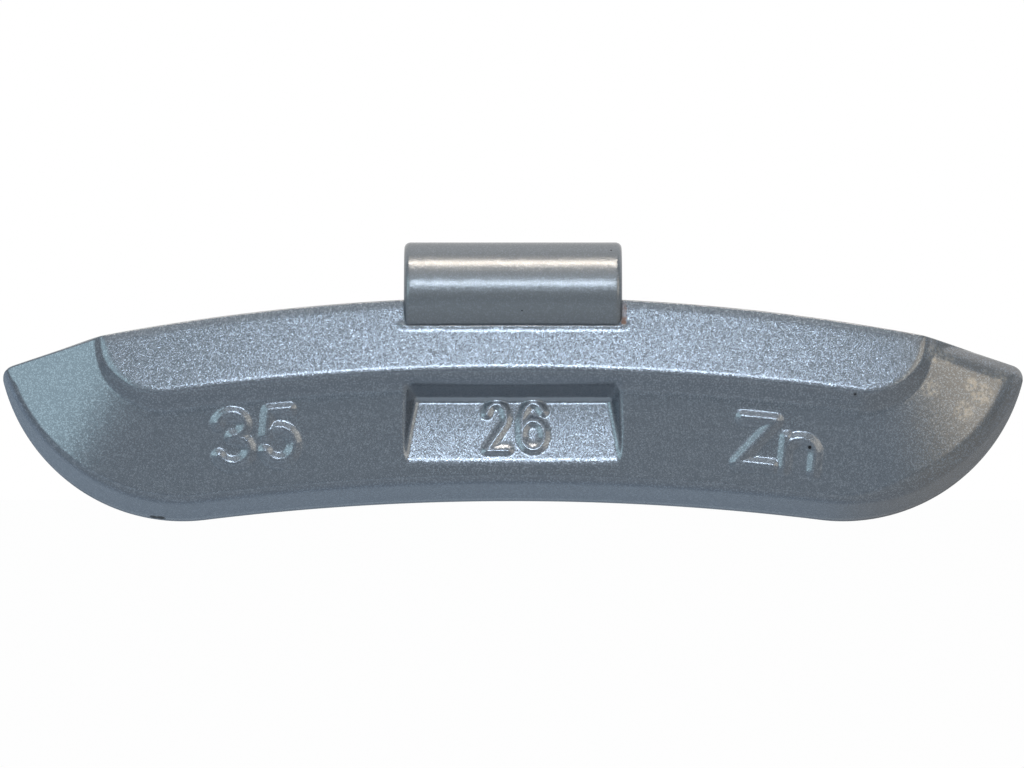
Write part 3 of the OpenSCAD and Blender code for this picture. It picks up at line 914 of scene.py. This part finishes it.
def pale_floor(looks):
    """White floor: nearly white as the camera sees it, pale blue to mirrors from under the body to
    behind it, and the rest lit, with its shadow. Both its light and its mirrored tint are warmer
    on the right."""
    material = bpy.data.materials.new("pale_floor")
    tree = ShaderTree(material)
    camera, mirrored = seen_rays(tree)
    place = tree.node("ShaderNodeTexCoord", output=3)
    depth, right = tree.axis(place, 1), tree.axis(place, 0).step(*FLOOR_RIGHT)
    lit = tree.mix(depth.step(*FLOOR_TOWARDS), rgba(looks.floor_front), rgba(looks.floor_back))
    lit = tree.mix(right * RIGHT_SHARE, lit, rgba(looks.floor_right))
    lit = tree.node("ShaderNodeBsdfDiffuse", {}, {"Color": lit})
    tint = tree.mix(right, rgba(looks.mirror_left), rgba(looks.mirror_right))
    tint = tree.mix(camera, tint, WHITE)
    glow = tree.node("ShaderNodeEmission", {}, {"Color": tint, "Strength": 1})
    shown = camera.most(mirrored * depth.step(*FLOOR_UNDER)) * GLOW_SHARE
    shader = tree.node("ShaderNodeMixShader", {}, {0: shown, 1: lit, 2: glow})
    tree.node("ShaderNodeOutputMaterial", {}, {"Surface": shader})
    return material


def white_world(surround):
    """World that is white to the camera, and behind the body to mirrors too, and plain soft light
    elsewhere: away is one behind the body and nought on the photographer's side."""
    world = bpy.data.worlds.new("studio_world")
    bpy.context.scene.world = world
    tree = ShaderTree(world)
    camera, mirrored = seen_rays(tree)
    place = tree.node("ShaderNodeTexCoord")
    away = tree.axis(place, 1).step(*WORLD_BEHIND)
    tint = tree.mix(camera.most(mirrored * away), rgba(surround), WHITE)
    background = tree.node("ShaderNodeBackground", {}, {"Color": tint, "Strength": 1})
    tree.node("ShaderNodeOutputWorld", {}, {"Surface": background})


def add_piece(name, mesh, node, material):
    """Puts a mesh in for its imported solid, riding on the one body."""
    piece = bpy.data.objects.new(name, mesh)
    bpy.context.scene.collection.objects.link(piece)
    mesh.materials.append(material)
    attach(piece, BODY)
    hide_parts(node)


# Lamps: name, bearing to the right and rise in degrees, distance, width and height in metres,
# colour and brightness
LAMPS = (
    ("cool_strip", 0.8, 31, 0.5, 0.14, 0.040, (0.84, 0.92, 1.0), 18.0),
    ("warm_strip", 0, 77.5, 0.42, 0.30, 0.045, (1.0, 0.84, 0.68), 16.0),
    ("high_fill", 0, 56, 0.5, 0.36, 0.24, (1.0, 0.97, 0.92), 0.38),
    ("left_fill", -42, 22, 0.6, 0.40, 0.34, (0.72, 0.98, 1.0), 1.15),
    ("right_fill", 42, 22, 0.6, 0.36, 0.30, (1.0, 0.82, 0.60), 1.1),
)
# The point that they face, in metres
LAMPS_AIM = Vector((0, 0, -0.005))


def add_lamp(name, bearing, rise, away, wide, high, tint, brightness):
    """An area lamp that faces the body, its power in step with its area and brightness."""
    lamp = bpy.data.lights.new(name, "AREA")
    lamp.shape = "RECTANGLE"
    lamp.size, lamp.size_y = wide, high
    lamp.color = tint
    lamp.energy = brightness * math.pi * wide * high
    bearing, rise = math.radians(bearing), math.radians(rise)
    towards = Vector((
        math.sin(bearing) * math.cos(rise), -math.cos(bearing) * math.cos(rise), math.sin(rise)
    ))
    stand = bpy.data.objects.new(name, lamp)
    stand.location = towards * away + LAMPS_AIM
    stand.rotation_mode = "QUATERNION"
    stand.rotation_quaternion = towards.to_track_quat("Z", "Y")
    stand.visible_camera = False
    bpy.context.scene.collection.objects.link(stand)


# The camera's sensor in millimetres, and the nearest and farthest it sees in metres
SENSOR_W = 36
CAMERA_RANGE = (0.01, 20)


class WEIGHT_OT_cast_body(bpy.types.Operator):
    """Make the painted casting"""

    bl_idname = "balance_weight.cast_body"
    bl_label = "Cast body"

    def execute(self, context):
        scene = context.scene
        shape = cast_shape(scene.balance_cast)
        mesh = tube_mesh("cast_body_painted", cast_rings(shape, plain(scene.balance_clip)))
        paint = silver_paint("cast", scene.balance_looks, CAST_CHIPS)
        add_piece("cast_body_painted", mesh, "cast_body", paint)
        return {"FINISHED"}


class WEIGHT_OT_spring_clip(bpy.types.Operator):
    """Make the painted spring clip"""

    bl_idname = "balance_weight.spring_clip"
    bl_label = "Spring clip"

    def execute(self, context):
        scene = context.scene
        mesh = tube_mesh("spring_clip_painted", clip_rings(plain(scene.balance_clip)))
        paint = silver_paint("clip", scene.balance_looks, CLIP_CHIPS)
        add_piece("spring_clip_painted", mesh, "spring_clip", paint)
        return {"FINISHED"}


class WEIGHT_OT_stage(bpy.types.Operator):
    """Make the floor, the lamps, the surround and the camera"""

    bl_idname = "balance_weight.stage"
    bl_label = "Stage"

    def execute(self, context):
        scene = context.scene
        looks = scene.balance_stage
        scene.view_settings.view_transform = "Standard"
        white_world(looks.surround)
        mesh = bpy.data.meshes.new("floor")
        reach = FLOOR_REACH
        corners = [(-reach, -reach), (reach, -reach), (reach, reach), (-reach, reach)]
        mesh.from_pydata([(x, y, looks.floor_z) for x, y in corners], [], [(0, 1, 2, 3)])
        mesh.materials.append(pale_floor(looks))
        floor = bpy.data.objects.new("floor", mesh)
        scene.collection.objects.link(floor)
        for lamp in LAMPS:
            add_lamp(*lamp)
        camera = bpy.data.cameras.new("camera")
        camera.sensor_width = SENSOR_W
        camera.lens = SENSOR_W * looks.camera_away / looks.view_w
        camera.clip_start, camera.clip_end = CAMERA_RANGE
        stand = bpy.data.objects.new("camera", camera)
        stand.location = (looks.camera_x, -looks.camera_away, looks.camera_z)
        stand.rotation_euler = (math.pi / 2, 0, 0)
        scene.collection.objects.link(stand)
        scene.camera = stand
        return {"FINISHED"}


class WEIGHT_PT_panel(bpy.types.Panel):
    """The weight's pieces and sizes"""

    bl_label = "Balance weight"
    bl_idname = "WEIGHT_PT_panel"
    bl_space_type = "VIEW_3D"
    bl_region_type = "UI"
    bl_category = "Balance weight"

    def draw(self, context):
        for operator in OPERATORS:
            self.layout.operator(operator.bl_idname)
        for group in GROUPS:
            box = self.layout.box()
            for key in GROUPS[group].__annotations__:
                box.prop(getattr(context.scene, group), key)


OPERATORS = (WEIGHT_OT_cast_body, WEIGHT_OT_spring_clip, WEIGHT_OT_stage)
GROUPS = {
    "balance_cast": CastSizes,
    "balance_clip": ClipSizes,
    "balance_looks": PaintLooks,
    "balance_stage": StageLooks,
}


def register():
    """Registers the classes and gives the scene its groups of sizes and looks."""
    for made in (*GROUPS.values(), *OPERATORS, WEIGHT_PT_panel):
        bpy.utils.register_class(made)
    for name, group in GROUPS.items():
        setattr(bpy.types.Scene, name, PointerProperty(type=group))


def unregister():
    """Takes the groups and classes away again."""
    for name in GROUPS:
        delattr(bpy.types.Scene, name)
    for made in reversed((*GROUPS.values(), *OPERATORS, WEIGHT_PT_panel)):
        bpy.utils.unregister_class(made)


def main():
    """Makes every piece and the stage."""
    register()
    bpy.ops.balance_weight.cast_body()
    bpy.ops.balance_weight.spring_clip()
    bpy.ops.balance_weight.stage()


if __name__ == "__main__":
    main()
